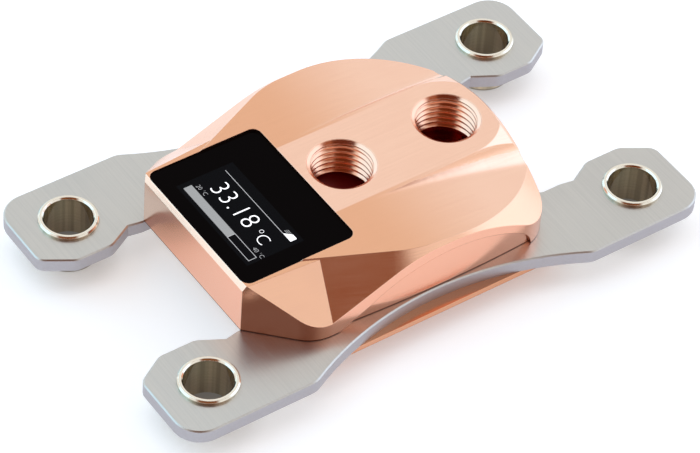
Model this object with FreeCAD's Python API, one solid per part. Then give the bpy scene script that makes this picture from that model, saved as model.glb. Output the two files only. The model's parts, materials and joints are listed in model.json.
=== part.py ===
import FreeCAD, Part
import math
import os

V = FreeCAD.Vector
UP = V(0, 0, 1)

# Liquid cooling cold plate with a display, mounted on four sleeves.
# Millimetres. +Z up, z = 0 under the feet of the sleeves, x = y = 0 at the centre of the hole pattern.
# The ports stand in line along Y, and the display is at the -Y end.

# Hole pattern and sleeves
pattern_x = 48.0
pattern_y = 96.0
sleeve_bore_r = 4.675
sleeve_wall = 1.075
sleeve_drop = 5.5
sleeve_proud = 0.8
sleeve_bevel = 0.3
press_clearance = 0.01

# Mounting plate
plate_thickness = 2.8
arm_side_wall = 4.4
arm_end_wall = 4.65
arm_inner_wall = 4.25
arm_corner_r = 5.5
arm_nose_in = 3.7
arm_nose_back = 6.2
arm_nose_r = 2.5
arm_straight = 7.7
arm_shoulder_r = 3.0
arm_slant_in = 2.7
arm_slant_length = 5.0
arm_throat_length = 2.8
arm_throat_r = 6.0
neck_half_width = 16.2
bridge_width = 7.5
notch_corner_r = 2.0
waist_rim = 2.95
waist_r = 67.0
waist_blend_r = 4.0
plate_edge_break = 0.25

# Cold plate
flange_size = 58.0
flange_thickness = 1.4
flange_corner_r = 1.5
boss_r = 23.3
boss_clearance = 0.2
groove_depth = 2.4
groove_width = 0.55
groove_pitch = 1.05
groove_length = 28.0
groove_field = 26.0
contact_face_size = 34.0
contact_face_step = 0.2

# Housing walls
housing_height = 11.84
side_half_width = 26.35
front_corner_in = 0.22
side_corner_r = 8.0
rear_wall_y = 29.55
rear_wall_r = 148.0

# Housing top
rear_top_r = 25.25
rear_top_y = 3.87
shoulder_y = 0.05
shoulder_r = 20.0
shoulder_angle = 24.0
front_block_drop = 0.24
front_block_taper = 4.3
front_bevel_in = 0.5
front_bevel_drop = 1.5
land_half_width = 9.7
land_end_r = 10.15
land_end_slope = 25.0
land_end_reach = 3.6
flank_start_y = -10.2
flank_lead = 2.5
flank_r = 195.0
flank_fillet_rear = 6.0
flank_fillet_front = 0.3
flank_fillet_length = 40.0
flank_stations = 6

# Recess in each side wall
recess_depth = 0.35
recess_end_depth = 1.2
recess_floor_r = 300.0
recess_peak_y = 3.9
recess_peak_height = 8.65
recess_front_reach = 18.6
recess_front_sag = 5.3
recess_tip_reach = 6.8
recess_rear_reach = 15.7
recess_rear_sag = 4.4
recess_foot_reach = 2.9
recess_foot_bulge = 0.55

# Ports
port_front_y = -3.35
port_spacing = 23.85
port_r = 6.58
port_mouth_r = 6.7
port_break_in = 0.5

# Coolant chamber, seal and flow parts
chamber_land = 0.95
chamber_height = 3.4
gallery_width = 2.1
seal_edge = 2.0
seal_width = 1.5
seal_groove_depth = 1.2
seal_clearance = 0.05
jet_thickness = 0.5
jet_overlap = 0.5
jet_outlet = 3.0
jet_slot_half = 0.6
jet_slot_margin = 1.5
insert_step_x = 1.5
insert_step_y = 0.5
insert_wall = 1.6
insert_corner_r = 1.5

# Display
window_width = 33.24
window_length = 24.1
window_rear_y = -11.6
window_rim_front = 0.55
window_rim_side = 0.38
window_drop = 0.54
window_thickness = 1.1
window_corner_r = 1.8
window_clearance = 0.08
window_ledge = 1.32
window_ledge_rear = 1.0
gasket_thickness = 0.2
bay_corner_r = 1.2
bay_rib = 1.8
bay_floor_thickness = 2.6
bay_fit = 0.3
cell_thickness = 1.1
backlight_thickness = 1.2
carrier_floor = 0.5
carrier_wall = 0.8
carrier_foot_r = 1.0
carrier_foot_from_screw = 3.0
board_gap = 0.95
board_thickness = 1.0
post_r = 1.5
post_from_side = 2.6
post_from_front = 2.2
post_from_rear = 2.4
ribbon_width = 7.0
ribbon_thickness = 0.2
ribbon_from_front = 1.7
ribbon_slot_side = 1.0
ribbon_slot_length = 1.6
connector_width = 8.4
connector_length = 2.4
connector_height = 0.75
chip_height = 1.0
controller_size = 6.0
power_chip_size = 3.4
power_chip_from_side = 5.0
chip_gap = 2.1

# Fasteners
base_screw_from_side = 9.0
base_screw_from_end = 3.5
base_screw_r = 1.25
base_screw_head_r = 2.3
base_screw_length = 8.0
screw_clearance = 0.1
thread_run_out = 0.2
drive_r = 0.75
drive_depth = 0.7
board_screw_r = 0.8
board_screw_head_r = 1.5
board_screw_head = 0.65
board_screw_length = 2.5
pin_r = 1.0
pin_from_notch = 4.5
pin_depth = 1.6
pin_inset = 0.2

# Sensor and data socket
sensor_x = 6.0
sensor_from_front = 1.3
sensor_r = 1.0
sensor_head_r = 1.7
sensor_head = 0.6
sensor_tip = 0.8
sensor_seal_width = 0.7
socket_from_corner = 4.0
socket_width = 4.0
socket_height = 2.4
socket_length = 6.0
socket_inset = 0.8
socket_wall = 0.4
socket_mouth_depth = 4.2
contact_count = 4
contact_pitch = 0.75
contact_size = 0.3
contact_tip = 2.8
contact_reach = 2.6

# Cutters reach this far past the faces that they open
past = 1.0

# Places worked out from the sizes above
sleeve_outer_r = sleeve_bore_r + sleeve_wall
waist_half_width = boss_r + boss_clearance + waist_rim
notch_y = boss_r + boss_clearance + bridge_width
window_half_x = window_width / 2
window_front_y = window_rear_y - window_length
front_y = window_rim_front - window_front_y
front_corner_x = window_half_x - front_corner_in
front_block_half_width = window_half_x + window_rim_side
bay_half_x = window_half_x - window_ledge
bay_front_y = window_front_y + window_ledge
bay_rear_y = window_rear_y - window_ledge_rear
port_rear_y = port_front_y + port_spacing
seal_mean_r = boss_r - seal_edge
chamber_r = seal_mean_r - seal_width / 2 - chamber_land
jet_half_x = groove_length / 2 - jet_outlet
jet_half_y = groove_field / 2 + jet_overlap
jet_slot_reach = groove_field / 2 - jet_slot_margin
insert_half_x = jet_half_x - insert_step_x
insert_half_y = jet_half_y - insert_step_y
chamber_front = jet_half_y + gallery_width
deep_bay_rear_y = -(chamber_front + bay_rib)
sensor_y = -(chamber_front - sensor_from_front)
post_x = bay_half_x - post_from_side
post_front_y = bay_front_y + post_from_front
post_rear_y = bay_rear_y - post_from_rear
ribbon_y = bay_front_y + ribbon_from_front
chip_y = (bay_front_y + deep_bay_rear_y) / 2
power_chip_x = bay_half_x - power_chip_from_side
controller_x = power_chip_x - (power_chip_size + controller_size) / 2 - chip_gap
base_screw_x = flange_size / 2 - base_screw_from_side
base_screw_y = flange_size / 2 - base_screw_from_end
pin_y = notch_y - pin_from_notch
hole_places = [(sx * pattern_x / 2, sy * pattern_y / 2) for sx in (-1, 1) for sy in (-1, 1)]
base_screw_places = [(sx * base_screw_x, sy * base_screw_y) for sx in (-1, 1) for sy in (-1, 1)]
board_screw_places = [(sx * post_x, y) for sx in (-1, 1) for y in (post_front_y, post_rear_y)]

# Heights worked out from the sizes above
plate_bottom = sleeve_drop
plate_top = plate_bottom + plate_thickness
flange_bottom = plate_bottom - flange_thickness
screw_seat = flange_bottom + contact_face_step
land_z = plate_top + housing_height
front_block_z = land_z - front_block_drop
window_top = land_z - window_drop
window_bottom = window_top - window_thickness
window_seat = window_bottom - gasket_thickness
cell_bottom = window_bottom - cell_thickness
backlight_bottom = cell_bottom - backlight_thickness
carrier_bottom = backlight_bottom - carrier_floor
board_top = carrier_bottom - board_gap
board_bottom = board_top - board_thickness
bay_floor = plate_top + bay_floor_thickness
chamber_top = plate_top + chamber_height
port_bottom = chamber_top - port_break_in
socket_top = board_bottom - contact_size


def rounded_outline(points):
    """Closed wire through (x, y, corner radius) points, each corner rounded by a tangent arc."""
    edges = []
    ends = []
    count = len(points)
    for i in range(count):
        x, y, radius = points[i]
        here = V(x, y, 0)
        before = V(points[i - 1][0], points[i - 1][1], 0) - here
        after = V(points[(i + 1) % count][0], points[(i + 1) % count][1], 0) - here
        before.normalize()
        after.normalize()
        if radius == 0:
            ends.append((here, None, here))
            continue
        half = before.getAngle(after) / 2
        reach = radius / math.tan(half)
        middle = before + after
        middle.normalize()
        crown = here + middle * (radius / math.sin(half) - radius)
        ends.append((here + before * reach, crown, here + after * reach))
    for i in range(count):
        start, crown, stop = ends[i]
        if crown is not None:
            edges.append(Part.Arc(start, crown, stop).toShape())
        following = ends[(i + 1) % count][0]
        if (following - stop).Length > 1e-6:
            edges.append(Part.LineSegment(stop, following).toShape())
    return Part.Wire(edges)


def prism(wire, z0, z1):
    """Solid between two heights above a closed wire drawn at z = 0."""
    face = Part.Face(wire)
    face.translate(V(0, 0, z0))
    return face.extrude(V(0, 0, z1 - z0))


def block(x0, x1, y0, y1, z0, z1, corner_r=0.0):
    """Upright block with rounded vertical corners."""
    corners = [(x0, y0, corner_r), (x1, y0, corner_r), (x1, y1, corner_r), (x0, y1, corner_r)]
    return prism(rounded_outline(corners), z0, z1)


def cylinder(x, y, z0, z1, radius):
    return Part.makeCylinder(radius, z1 - z0, V(x, y, z0), UP)


def cone(x, y, z0, z1, r0, r1):
    return Part.makeCone(r0, r1, z1 - z0, V(x, y, z0), UP)


def seal_ring(x, y, mean_r, width, z0, z1):
    """Squeezed seal ring between two heights."""
    outer = cylinder(x, y, z0, z1, mean_r + width / 2)
    return outer.cut(cylinder(x, y, z0 - past, z1 + past, mean_r - width / 2))


def mirrored_pair(shape):
    return [shape, shape.mirror(V(0, 0, 0), V(1, 0, 0))]


def edge_at(edge, x, y):
    """True for an upright edge over the given place."""
    first, last = edge.Vertexes[0].Point, edge.Vertexes[-1].Point
    upright = abs(first.x - last.x) < 1e-4 and abs(first.y - last.y) < 1e-4
    return upright and abs(first.x - x) < 0.01 and abs(first.y - y) < 0.01


def arm_side_x():
    return pattern_x / 2 + sleeve_outer_r + arm_side_wall


# Plan outline of the mounting plate: one quarter goes out along an arm and back to the side
def plate_outline():
    side = arm_side_x()
    end = pattern_y / 2 + sleeve_outer_r + arm_end_wall
    inner = pattern_x / 2 - sleeve_outer_r - arm_inner_wall
    nose = end - arm_nose_back
    heel = nose - arm_straight
    slant = heel - arm_slant_length
    quarter = [
        (neck_half_width, notch_y, notch_corner_r),
        (neck_half_width, slant - arm_throat_length, arm_throat_r),
        (inner + arm_slant_in, slant, 0),
        (inner, heel, arm_shoulder_r),
        (inner, nose, arm_shoulder_r),
        (inner + arm_nose_in, end, arm_nose_r),
        (side, end, arm_corner_r),
    ]
    back = [(x, -y, r) for x, y, r in reversed(quarter)]
    right = quarter + back
    left = [(-x, y, r) for x, y, r in reversed(right)]
    return rounded_outline(right + left)


def mounting_plate():
    plate = prism(plate_outline(), plate_bottom, plate_top)
    side = arm_side_x()
    waist_x = waist_half_width + waist_r
    waist_y = math.sqrt(waist_r ** 2 - (waist_x - side) ** 2)
    for sx in (-1, 1):
        plate = plate.cut(cylinder(sx * waist_x, 0, plate_bottom - past, plate_top + past, waist_r))
    corners = [edge for edge in plate.Edges
               if any(edge_at(edge, sx * side, sy * waist_y) for sx in (-1, 1) for sy in (-1, 1))]
    plate = plate.makeFillet(waist_blend_r, corners)
    rim = [edge for edge in plate.Edges
           if all(abs(v.Z - plate_top) < 1e-6 for v in edge.Vertexes) and edge.BoundBox.ZLength < 1e-6]
    plate = plate.makeChamfer(plate_edge_break, rim)
    cuts = [cylinder(0, 0, plate_bottom - past, plate_top + past, boss_r + boss_clearance)]
    cuts += [cylinder(x, y, plate_bottom - past, plate_top + past, sleeve_outer_r + press_clearance)
             for x, y in hole_places]
    cuts += [cylinder(x, y, plate_bottom - past, plate_top + past, base_screw_r + screw_clearance)
             for x, y in base_screw_places]
    cuts += [cylinder(0, sy * pin_y, plate_bottom - past, plate_top + past, pin_r + press_clearance)
             for sy in (-1, 1)]
    return plate.cut(cuts)


# Turned sleeve pressed into an arm of the plate, bevelled at both ends
def sleeve(x, y):
    top = plate_top + sleeve_proud
    profile = [
        V(sleeve_bore_r, 0, sleeve_bevel),
        V(sleeve_bore_r + sleeve_bevel, 0, 0),
        V(sleeve_outer_r - sleeve_bevel, 0, 0),
        V(sleeve_outer_r, 0, sleeve_bevel),
        V(sleeve_outer_r, 0, top - sleeve_bevel),
        V(sleeve_outer_r - sleeve_bevel, 0, top),
        V(sleeve_bore_r + sleeve_bevel, 0, top),
        V(sleeve_bore_r, 0, top - sleeve_bevel),
    ]
    face = Part.Face(Part.makePolygon(profile + profile[:1]))
    tube = face.revolve(V(0, 0, 0), UP, 360)
    tube.translate(V(x, y, 0))
    return tube


# Flange under the mounting plate, round boss through it, coolant grooves cut in the boss
def cold_plate():
    half = flange_size / 2
    flange = block(-half, half, -half, half, flange_bottom, plate_bottom, flange_corner_r)
    body = flange.fuse(cylinder(0, 0, plate_bottom, plate_top, boss_r)).removeSplitter()
    pad = contact_face_size / 2
    wide = half + past
    skirt = block(-wide, wide, -wide, wide, flange_bottom - past, screw_seat)
    skirt = skirt.cut(block(-pad, pad, -pad, pad, flange_bottom - 2 * past, plate_bottom, flange_corner_r))
    cuts = [skirt]
    count = int(groove_field / groove_pitch)
    for i in range(count):
        y = (i - (count - 1) / 2) * groove_pitch
        cuts.append(block(-groove_length / 2, groove_length / 2, y - groove_width / 2,
                          y + groove_width / 2, plate_top - groove_depth, plate_top + past))
    head_depth = base_screw_head_r - base_screw_r
    for x, y in base_screw_places:
        cuts.append(cylinder(x, y, screw_seat - past, plate_bottom + past, base_screw_r + screw_clearance))
        cuts.append(cone(x, y, screw_seat, screw_seat + head_depth, base_screw_head_r + screw_clearance,
                         base_screw_r + screw_clearance))
    return body.cut(cuts)


def rear_corner_y():
    return rear_wall_y - rear_wall_r + math.sqrt(rear_wall_r ** 2 - side_half_width ** 2)


# Plan outline of the housing walls, with the rear corners still sharp
def wall_outline():
    corner_y = rear_corner_y()
    wall_y = -(front_y - (side_half_width - front_corner_x))
    reach = side_corner_r * math.tan(math.radians(22.5))
    slant = reach * math.sqrt(0.5)
    swing = side_corner_r * (1 - math.cos(math.radians(22.5)))
    rise = side_corner_r * math.sin(math.radians(22.5))
    edges = []
    for sx in (1, -1):
        front = V(sx * front_corner_x, -front_y, 0)
        slant_end = V(sx * (side_half_width - slant), wall_y - slant, 0)
        flat_start = V(sx * side_half_width, wall_y + reach, 0)
        crown = V(sx * (side_half_width - swing), wall_y + reach - rise, 0)
        flat_end = V(sx * side_half_width, corner_y, 0)
        edges.append(Part.LineSegment(front, slant_end).toShape())
        edges.append(Part.Arc(slant_end, crown, flat_start).toShape())
        edges.append(Part.LineSegment(flat_start, flat_end).toShape())
    edges.append(Part.LineSegment(V(-front_corner_x, -front_y, 0), V(front_corner_x, -front_y, 0)).toShape())
    edges.append(Part.Arc(V(side_half_width, corner_y, 0), V(0, rear_wall_y, 0),
                          V(-side_half_width, corner_y, 0)).toShape())
    return Part.Wire(Part.__sortEdges__(edges))


def housing_walls():
    walls = prism(wall_outline(), plate_top, land_z)
    corners = [edge for edge in walls.Edges
               if any(edge_at(edge, sx * side_half_width, rear_corner_y()) for sx in (-1, 1))]
    return walls.makeFillet(side_corner_r, corners)


# Top outline of the rear body, moved outward by a distance: an arc round the rear port,
# a short straight side, a shoulder arc and a line that runs in towards the display
def top_outline(outward):
    angle = math.radians(shoulder_angle)
    side = rear_top_r + outward
    radius = shoulder_r + outward
    centre = V(rear_top_r - shoulder_r, shoulder_y, 0)
    front = shoulder_y - shoulder_r * math.sin(angle) - front_y + shoulder_y
    middle = centre + V(radius * math.cos(angle / 2), -radius * math.sin(angle / 2), 0)
    stop = centre + V(radius * math.cos(angle), -radius * math.sin(angle), 0)
    run = (stop.y - front) / math.cos(angle)
    nose = stop + V(-run * math.sin(angle), -run * math.cos(angle), 0)
    right = [V(side, rear_top_y, 0), V(side, shoulder_y, 0), middle, stop, nose]
    left = [V(-p.x, p.y, 0) for p in right]
    edges = [
        Part.Arc(left[0], V(0, rear_top_y + side, 0), right[0]).toShape(),
        Part.LineSegment(right[0], right[1]).toShape(),
        Part.Arc(right[1], right[2], right[3]).toShape(),
        Part.LineSegment(right[3], right[4]).toShape(),
        Part.LineSegment(right[4], left[4]).toShape(),
        Part.LineSegment(left[4], left[3]).toShape(),
        Part.Arc(left[3], left[2], left[1]).toShape(),
        Part.LineSegment(left[1], left[0]).toShape(),
    ]
    return Part.Wire(edges)


# Rear body under a 45 degree bevel that follows the top outline
def rear_body():
    low = top_outline(housing_height)
    high = top_outline(0)
    low.translate(V(0, 0, plate_top))
    high.translate(V(0, 0, land_z))
    return Part.makeLoft([low, high], True, True)


# Section of the display end at a distance along the land: flat top with 45 degree sides
def front_block_section(y):
    height = front_block_z - plate_top
    high = front_block_half_width + (y + front_y) * math.tan(math.radians(front_block_taper))
    low = high + height
    profile = [V(-low, y, plate_top), V(low, y, plate_top), V(high, y, front_block_z),
               V(-high, y, front_block_z)]
    return Part.makePolygon(profile + profile[:1])


# Display end: it widens a little towards the rear, where it runs into the rear body
def front_block():
    return Part.makeLoft([front_block_section(-front_y - past), front_block_section(0)], True, True)


# Section through the space above one flank, at a distance along the land
def flank_section(y):
    drop = flank_r - math.sqrt(flank_r ** 2 - (y - flank_start_y) ** 2)
    floor = land_z - drop
    share = (y - flank_start_y) / flank_fillet_length
    radius = flank_fillet_front + (flank_fillet_rear - flank_fillet_front) * share
    top = land_z + radius + past
    outer = side_half_width + flank_fillet_rear
    lean = math.sqrt(0.5) * radius
    toe = land_half_width + radius
    arc = Part.Arc(V(land_half_width, y, floor + radius), V(toe - lean, y, floor + radius - lean),
                   V(toe, y, floor)).toShape()
    edges = [
        Part.LineSegment(V(land_half_width, y, top), V(land_half_width, y, floor + radius)).toShape(),
        arc,
        Part.LineSegment(V(toe, y, floor), V(outer, y, floor)).toShape(),
        Part.LineSegment(V(outer, y, floor), V(outer, y, top)).toShape(),
        Part.LineSegment(V(outer, y, top), V(land_half_width, y, top)).toShape(),
    ]
    return Part.Wire(edges)


# Space above one flank: the floor falls away to the rear beside the land
def flank_cutter():
    start = flank_start_y + flank_lead
    run = rear_wall_y + past - start
    stations = [start + run * i / (flank_stations - 1) for i in range(flank_stations)]
    return Part.makeLoft([flank_section(y) for y in stations], True, False)


# Bevel round the land's end, on a cone about the rear port's axis
def land_end_cutter():
    half = land_half_width + land_end_reach
    reach = math.hypot(half, rear_wall_y + past - port_rear_y) + past
    drop = (reach - land_end_r) * math.tan(math.radians(land_end_slope))
    lift = past * math.tan(math.radians(land_end_slope))
    space = block(-half, half, port_rear_y, rear_wall_y + past, land_z - drop, land_z + lift)
    return space.cut(cone(0, port_rear_y, land_z - drop, land_z + lift, reach, land_end_r - past))


# Shallow arched recess in a side wall, open at the bottom, with a floor that curves along the wall
def recess_cutter():
    base = plate_top - past
    peak = V(0, recess_peak_y, plate_top + recess_peak_height)
    front = peak - V(0, recess_front_reach, recess_front_sag)
    rear = peak + V(0, recess_rear_reach, -recess_rear_sag)
    slope = (front.z - plate_top) / recess_tip_reach
    tip = V(0, front.y - recess_tip_reach - past / slope, base)
    foot = V(0, rear.y + recess_foot_reach, base)
    bulge = (rear + foot) * 0.5 + V(0, recess_foot_bulge, recess_foot_bulge)
    edges = [
        Part.LineSegment(tip, front).toShape(),
        Part.Arc(front, peak, rear).toShape(),
        Part.Arc(rear, bulge, foot).toShape(),
        Part.LineSegment(foot, tip).toShape(),
    ]
    face = Part.Face(Part.Wire(edges))
    face.translate(V(side_half_width - recess_end_depth, 0, 0))
    space = face.extrude(V(recess_end_depth + past, 0, 0))
    axis_x = side_half_width - recess_depth - recess_floor_r
    return space.cut(cylinder(axis_x, recess_peak_y, base - past, land_z, recess_floor_r))


# Bevel along the top of the front face
def front_bevel_cutter():
    wide = side_half_width
    edge_y = -front_y
    low = front_block_z - front_bevel_drop
    high = front_block_z + past
    profile = [V(0, edge_y - past, high), V(0, edge_y - past, low), V(0, edge_y, low),
               V(0, edge_y + front_bevel_in, front_block_z), V(0, edge_y + front_bevel_in, high)]
    face = Part.Face(Part.makePolygon(profile + profile[:1]))
    face.translate(V(-wide, 0, 0))
    return face.extrude(V(2 * wide, 0, 0))


# Threaded port: core bore with a countersunk mouth
def port_cutter(y):
    lead = port_mouth_r - port_r
    bore = cylinder(0, y, port_bottom, land_z + past, port_r)
    mouth = cone(0, y, land_z - lead, land_z, port_r, port_mouth_r)
    return bore.fuse(mouth)


def chamber_cutter():
    circle = cylinder(0, 0, plate_top - past, chamber_top, chamber_r)
    return circle.cut(block(-chamber_r, chamber_r, -chamber_r - past, -chamber_front,
                            plate_top - 2 * past, chamber_top + past))


def seal_groove_cutter():
    half = seal_width / 2 + seal_clearance
    outer = cylinder(0, 0, plate_top - past, plate_top + seal_groove_depth, seal_mean_r + half)
    return outer.cut(cylinder(0, 0, plate_top - 2 * past, land_z, seal_mean_r - half))


# Display bay: glass seat, upper bay down to the board, and a deeper bay with posts for the board
def bay_cutters():
    seat = block(-window_half_x - window_clearance, window_half_x + window_clearance,
                 window_front_y - window_clearance, window_rear_y + window_clearance,
                 window_seat, land_z + past, window_corner_r)
    upper = block(-bay_half_x, bay_half_x, bay_front_y, bay_rear_y, board_bottom, land_z, bay_corner_r)
    deep = block(-bay_half_x, bay_half_x, bay_front_y, deep_bay_rear_y, bay_floor, land_z, bay_corner_r)
    for sx in (-1, 1):
        deep = deep.cut(cylinder(sx * post_x, post_front_y, bay_floor - past, board_bottom, post_r))
    tip = board_top - board_screw_length - thread_run_out
    holes = [cylinder(x, y, tip, board_bottom + past, board_screw_r + press_clearance)
             for x, y in board_screw_places]
    return [seat, upper, deep] + holes


# Hole from the board's ledge down to the coolant, with a seat for the sensor's seal
def sensor_hole():
    high = board_bottom + past
    hole = cylinder(sensor_x, sensor_y, chamber_top - past, high, sensor_r + press_clearance)
    seat_r = sensor_r + sensor_seal_width + press_clearance
    seat_z = board_bottom - sensor_head - sensor_seal_width
    return hole.fuse(cylinder(sensor_x, sensor_y, seat_z, high, seat_r))


# The data socket sits in the slanted wall at the display end, on the side away from the sensor.
# It is drawn along X with its mouth at x = 0 on the wall, then turned and moved into place.
def to_socket_wall(shape):
    along = socket_from_corner * math.sqrt(0.5)
    placed = shape.copy()
    placed.rotate(V(0, 0, 0), UP, 45)
    placed.translate(V(-front_corner_x - along, -front_y + along, 0))
    return placed


def socket_cutter():
    half = socket_width / 2 + press_clearance
    reach = socket_inset + socket_length + contact_reach + past
    low = socket_top - socket_height - press_clearance
    return to_socket_wall(block(-2 * past, reach, -half, half, low, socket_top + press_clearance))


def top_housing():
    top = rear_body().fuse(front_block())
    body = housing_walls().common(top).removeSplitter()
    cuts = mirrored_pair(flank_cutter()) + mirrored_pair(recess_cutter())
    cuts += [land_end_cutter(), front_bevel_cutter(), port_cutter(port_front_y), port_cutter(port_rear_y)]
    cuts += [chamber_cutter(), seal_groove_cutter(), sensor_hole(), socket_cutter()]
    cuts += bay_cutters()
    tip = screw_seat + base_screw_length + thread_run_out
    cuts += [cylinder(x, y, plate_top - past, tip, base_screw_r + press_clearance)
             for x, y in base_screw_places]
    pin_end = plate_top + pin_depth + thread_run_out
    cuts += [cylinder(0, sy * pin_y, plate_top - past, pin_end, pin_r + press_clearance)
             for sy in (-1, 1)]
    return body.cut(cuts)


# Countersunk screws from below, through the cold plate and the mounting plate
def base_screws():
    low = screw_seat
    head = base_screw_head_r - base_screw_r
    screws = []
    for x, y in base_screw_places:
        screw = cone(x, y, low, low + head, base_screw_head_r, base_screw_r)
        screw = screw.fuse(cylinder(x, y, low + head, low + base_screw_length, base_screw_r))
        drive = prism(hexagon(drive_r), low - past, low + drive_depth)
        drive.translate(V(x, y, 0))
        screws.append(screw.cut(drive).removeSplitter())
    return Part.makeCompound(screws)


def hexagon(radius):
    points = [V(radius * math.cos(math.radians(60 * i)), radius * math.sin(math.radians(60 * i)), 0)
              for i in range(6)]
    return Part.makePolygon(points + points[:1])


def locating_pins():
    low = plate_bottom + pin_inset
    return Part.makeCompound([cylinder(0, sy * pin_y, low, plate_top + pin_depth, pin_r) for sy in (-1, 1)])


def main_seal():
    return seal_ring(0, 0, seal_mean_r, seal_width, plate_top, plate_top + seal_groove_depth)


# Thin plate on the fins: one slot sends the coolant down into the grooves
def jet_plate():
    sheet = block(-jet_half_x, jet_half_x, -jet_half_y, jet_half_y, plate_top, plate_top + jet_thickness,
                  insert_corner_r)
    return sheet.cut(block(-jet_slot_half, jet_slot_half, -jet_slot_reach, jet_slot_reach,
                           plate_top - past, plate_top + jet_thickness + past))


def rectangle(half_x, half_y, z):
    points = [V(-half_x, -half_y, z), V(half_x, -half_y, z), V(half_x, half_y, z), V(-half_x, half_y, z)]
    return Part.makePolygon(points + points[:1])


# Funnel between the inlet port and the slot of the jet plate
def flow_insert():
    low = plate_top + jet_thickness
    body = block(-insert_half_x, insert_half_x, -insert_half_y, insert_half_y, low, chamber_top,
                 insert_corner_r)
    narrow = rectangle(jet_slot_half, jet_slot_reach, low)
    wide = rectangle(insert_half_x - insert_wall, insert_half_y - insert_wall, chamber_top)
    return body.cut(Part.makeLoft([narrow, wide], True, True))


def display_window():
    return block(-window_half_x, window_half_x, window_front_y, window_rear_y, window_bottom, window_top,
                 window_corner_r)


# Frame of adhesive between the glass and its seat
def window_gasket():
    frame = block(-window_half_x, window_half_x, window_front_y, window_rear_y, window_seat, window_bottom,
                  window_corner_r)
    return frame.cut(block(-bay_half_x, bay_half_x, bay_front_y, bay_rear_y, window_seat - past,
                           window_bottom + past, bay_corner_r))


def module_block(inset, z0, z1):
    """Layer of the display module, inset from the walls of the bay."""
    return block(-bay_half_x + inset, bay_half_x - inset, bay_front_y + inset, bay_rear_y - inset, z0, z1,
                 bay_corner_r)


def display_cell():
    return module_block(bay_fit + carrier_wall, cell_bottom, window_bottom)


def backlight():
    return module_block(bay_fit + carrier_wall, backlight_bottom, cell_bottom)


# Tray that holds the display layers, with feet that stand on the board
def display_carrier():
    tray = module_block(bay_fit, carrier_bottom, window_seat)
    tray = tray.cut(module_block(bay_fit + carrier_wall, backlight_bottom, window_seat + past))
    feet = []
    for sx in (-1, 1):
        for y in (post_front_y + carrier_foot_from_screw, post_rear_y - carrier_foot_from_screw):
            feet.append(cylinder(sx * post_x, y, board_top, carrier_bottom, carrier_foot_r))
    half = ribbon_width / 2 + ribbon_slot_side
    slot = block(-half, half, ribbon_y - ribbon_slot_length / 2, ribbon_y + ribbon_slot_length / 2,
                 carrier_bottom - past, backlight_bottom + past)
    return tray.fuse(feet).removeSplitter().cut(slot)


# Flat ribbon from the display layers down through the tray to its connector on the board
def display_ribbon():
    return block(-ribbon_width / 2, ribbon_width / 2, ribbon_y - ribbon_thickness / 2,
                 ribbon_y + ribbon_thickness / 2, board_top + connector_height, backlight_bottom)


def ribbon_connector():
    return block(-connector_width / 2, connector_width / 2, ribbon_y - connector_length / 2,
                 ribbon_y + connector_length / 2, board_top, board_top + connector_height)


def display_board():
    sheet = module_block(bay_fit, board_bottom, board_top)
    return sheet.cut([cylinder(x, y, board_bottom - past, board_top + past, board_screw_r + screw_clearance)
                      for x, y in board_screw_places])


def board_screws():
    screws = []
    for x, y in board_screw_places:
        shank = cylinder(x, y, board_top - board_screw_length, board_top, board_screw_r)
        head = cylinder(x, y, board_top, board_top + board_screw_head, board_screw_head_r)
        drive_bottom = board_top + board_screw_head / 2
        drive = prism(hexagon(drive_r), drive_bottom, board_top + board_screw_head + past)
        drive.translate(V(x, y, 0))
        screws.append(shank.fuse(head).removeSplitter().cut(drive))
    return Part.makeCompound(screws)


def chip(x, size):
    """Square chip under the board."""
    half = size / 2
    return block(x - half, x + half, chip_y - half, chip_y + half, board_bottom - chip_height, board_bottom)


def controller_chip():
    return chip(controller_x, controller_size)


def power_chip():
    return chip(power_chip_x, power_chip_size)


# Probe that reaches from the board down into the coolant
def temperature_sensor():
    tip = cylinder(sensor_x, sensor_y, chamber_top - sensor_tip, board_bottom, sensor_r)
    return tip.fuse(cylinder(sensor_x, sensor_y, board_bottom - sensor_head, board_bottom,
                             sensor_head_r)).removeSplitter()


def sensor_seal():
    high = board_bottom - sensor_head
    return seal_ring(sensor_x, sensor_y, sensor_r + sensor_seal_width / 2, sensor_seal_width,
                     high - sensor_seal_width, high)


def data_socket():
    low = socket_top - socket_height
    half = socket_width / 2
    open_half = half - socket_wall
    floor = socket_inset + socket_mouth_depth
    body = block(socket_inset, socket_inset + socket_length, -half, half, low, socket_top)
    mouth = block(socket_inset - past, floor, -open_half, open_half, low + socket_wall,
                  socket_top - socket_wall)
    slots = [contact_rod(y, floor - past, socket_inset + socket_length + past) for y in contact_places()]
    return to_socket_wall(body.cut([mouth] + slots))


def contact_places():
    return [(i - (contact_count - 1) / 2) * contact_pitch for i in range(contact_count)]


def contact_rod(y, x0, x1):
    """Straight square run of one contact at the middle height of the socket."""
    middle = socket_top - socket_height / 2
    half = contact_size / 2
    return block(x0, x1, y - half, y + half, middle - half, middle + half)


# Contacts run through the socket's back wall and turn up to the board
def socket_contacts():
    end = socket_inset + socket_length + contact_reach
    tip = socket_inset + socket_mouth_depth - contact_tip
    half = contact_size / 2
    low = socket_top - socket_height / 2 - half
    contacts = []
    for y in contact_places():
        rise = block(end - contact_size, end, y - half, y + half, low, board_bottom)
        contacts.append(to_socket_wall(contact_rod(y, tip, end).fuse(rise).removeSplitter()))
    return Part.makeCompound(contacts)


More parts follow.
